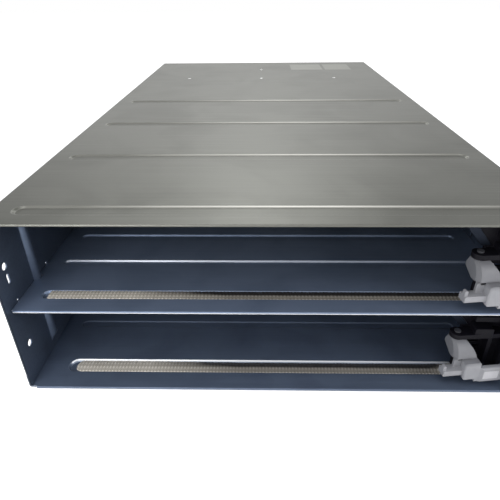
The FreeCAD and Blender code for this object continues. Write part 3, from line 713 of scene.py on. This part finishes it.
print("screws set")


# foam pad over the side slot, and a blank film on each lever handle

slotPad = {
    "wideMm": 22,
    "tallMm": 14,
    "thickMm": 1.1,
    "cornerMm": 2.5,
    "cornerSteps": 6,
    "flatFrom": 0.4,                # last ring of the top, as a part of the corner
    "atMm": (-256, 95.6),           # middle along Y and upwards
}
handleFilm = dict(
    slotPad, wideMm=14.3, tallMm=9.1, thickMm=0.25, cornerMm=0.8,
    atMm=(28.65, -21.9, -33.5))     # middle from the pivot of the lever, before the lever's turn
leverTurn = 7.0                     # degrees that the lever stands askew to the mouth when it is closed


def sheetPatch(name, look, place, turn, finish, body):  # thin pad with round corners and a soft rim
    thick, corner = mm(look["thickMm"]), mm(look["cornerMm"])
    w, t = mm(look["wideMm"]) / 2 - corner, mm(look["tallMm"]) / 2 - corner
    outline = []
    for quarter, (x, y) in enumerate(((w, t), (-w, t), (-w, -t), (w, -t))):
        for i in range(look["cornerSteps"] + 1):
            angle = math.pi / 2 * (quarter + i / look["cornerSteps"])
            outline.append((x, y, math.cos(angle), math.sin(angle)))
    rings = ((corner, 0.0), (corner, thick / 2), (corner - thick / 2, thick),
             (corner * look["flatFrom"], thick))
    points = []
    for radius, height in rings:
        for x, y, c, s in outline:
            points.append(place + turn @ Vector((x + radius * c, y + radius * s, height)))
    addPiece(name, points, ringFaces(len(rings), len(outline)), finish, body)


padPlace = Vector((wallRight, *(mm(d) for d in slotPad["atMm"])))
sheetPatch("slotFoamPad", slotPad, padPlace, toRight, "foam", "chassis")
askew = Matrix.Rotation(math.radians(leverTurn), 3, "Z")
for joint in frame["joints"]:
    lever = joint["child"]
    spot = Vector(joint["pos_m"]) + askew @ Vector([mm(d) for d in handleFilm["atMm"]])
    sheetPatch(lever.split("_")[0] + "HandleFilm", handleFilm, spot, askew @ toMouth, "leverFilm", lever)
print("films and foam laid")


# folded steel edge on the slanted side of each latch housing

latchEdge = {
    "leftMm": ((176, 52), (163, 67), (163, 77)),   # outline in X and above the bay floor
    "rightMm": ((171, 77), (171, 69), (185, 52)),
    "floorMm": 0.8,                 # bay floor below the foot of the housing
    "frontMm": -361.2,
    "thickMm": 0.9,
    "roundMm": 0.3,
}


def addLatchEdge(level, look):
    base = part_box(level + "_latch_housing")[0].z - mm(look["floorMm"])
    outline = [Vector((mm(x), 0, base + mm(z))) for x, z in look["leftMm"] + look["rightMm"]]
    middle = sum(outline, Vector()) / len(outline)
    thick, soft = look["thickMm"], look["roundMm"]
    rings = ((0, 0), (0, thick - soft), (soft, thick))  # how far in from the outline, how far to the mouth
    points = []
    for inset, forward in rings:
        for corner in outline:
            inward = (middle - corner).normalized() * mm(inset)
            points.append(corner + inward + Vector((0, mm(look["frontMm"] - forward), 0)))
    faces = ringFaces(len(rings), len(outline))
    addPiece(level + "LatchEdge", points, faces, "edge", "chassis")


for level in levels:
    addLatchEdge(level, latchEdge)
print("latch edges set")


# floor, light and camera

stageLook = {"floor": "f2f2f2", "floorGlow": 0.65, "floorHalf": 6, "sky": "ffffff", "skyFill": 0.45}


def backgroundRays(tree):  # 1 for rays that show the background, 0 for those that light the object
    ray = addNode(tree, "LightPath")
    seen = addNode(tree, "Math", {"operation": "MAXIMUM"},
                   {0: ray.outputs["Is Camera Ray"], 1: ray.outputs["Is Glossy Ray"]})
    return addNode(tree, "Math", {"operation": "MAXIMUM"}, {0: seen, 1: ray.outputs["Is Transmission Ray"]})


reach = stageLook["floorHalf"]
floorMesh = bpy.data.meshes.new("floor")
floorMesh.from_pydata([(-reach, -reach, 0), (reach, -reach, 0), (reach, reach, 0), (-reach, reach, 0)], [],
                      [(0, 1, 2, 3)])
floor = bpy.data.objects.new("floor", floorMesh)
bpy.context.scene.collection.objects.link(floor)
floorPaint = bpy.data.materials.new("paperMattWhite")
floorPaint.use_nodes = True
floorTree = floorPaint.node_tree
floorTree.nodes.clear()
floorGlow = addNode(floorTree, "Math", {"operation": "MULTIPLY", 1: stageLook["floorGlow"]},
                    {0: backgroundRays(floorTree)})
floorLit = addNode(floorTree, "BsdfDiffuse", {"Color": linear(stageLook["floor"])})
floorBright = addNode(floorTree, "Emission", {}, {"Strength": floorGlow})
floorBoth = addNode(floorTree, "AddShader", {}, {0: floorLit, 1: floorBright})
addNode(floorTree, "OutputMaterial", {}, {"Surface": floorBoth})
floorMesh.materials.append(floorPaint)

world = bpy.data.worlds.new("studio")
world.use_nodes = True
bpy.context.scene.world = world
worldTree = world.node_tree
worldTree.nodes.clear()
worldLevel = addNode(worldTree, "MapRange", {"To Min": stageLook["skyFill"], "To Max": 1.0},
                     {"Value": backgroundRays(worldTree)})
worldGlow = addNode(worldTree, "Background", {"Color": linear(stageLook["sky"])}, {"Strength": worldLevel})
addNode(worldTree, "OutputWorld", {}, {"Surface": worldGlow})

lamps = {  # place, point to aim at, width and height in metres, watts
    "frontSoftbox": ((0.95, -0.75, 0.5), (-0.1, -0.33, 0.08), (0.5, 0.4), 4.5),
    "lowSoftbox": ((-0.33, -0.78, 0.36), (-0.15, -0.35, 0.08), (0.35, 0.15), 1.7),
    "topSoftbox": ((-0.2, -1.1, 2.0), (-0.2, -1.1, 0.1), (1.0, 1.4), 9),
    "farSoftbox": ((-0.16, 1.7, 1.5), (0, -0.2, 0.17), (1.8, 0.7), 6.6),
    "farStrip": ((-0.05, 1.7, 1.5), (0, -0.2, 0.17), (0.6, 0.7), 4.2),
}
for name, (at, aim, size, watts) in lamps.items():
    light = bpy.data.lights.new(name, "AREA")
    light.shape = "RECTANGLE"
    light.size, light.size_y = size
    light.energy = watts
    holder = bpy.data.objects.new(name, light)
    holder.location = at
    holder.rotation_euler = (Vector(aim) - Vector(at)).to_track_quat("-Z", "Y").to_euler()
    holder.visible_camera = False
    bpy.context.scene.collection.objects.link(holder)

cameraView = {
    "at": (-0.0070, -0.6912, 0.3286),
    "turn": (59.4898, 0.5287, 1.1591),  # degrees about X, Y and Z
    "lens": 32.63,
    "sensor": 36.0,
}
camera = bpy.data.objects.new("camera", bpy.data.cameras.new("camera"))
camera.data.lens = cameraView["lens"]
camera.data.sensor_width = cameraView["sensor"]
camera.location = cameraView["at"]
camera.rotation_euler = [math.radians(angle) for angle in cameraView["turn"]]
bpy.context.scene.collection.objects.link(camera)
bpy.context.scene.camera = camera
bpy.context.scene.view_settings.view_transform = "Standard"
print("stage, lamps and camera set")
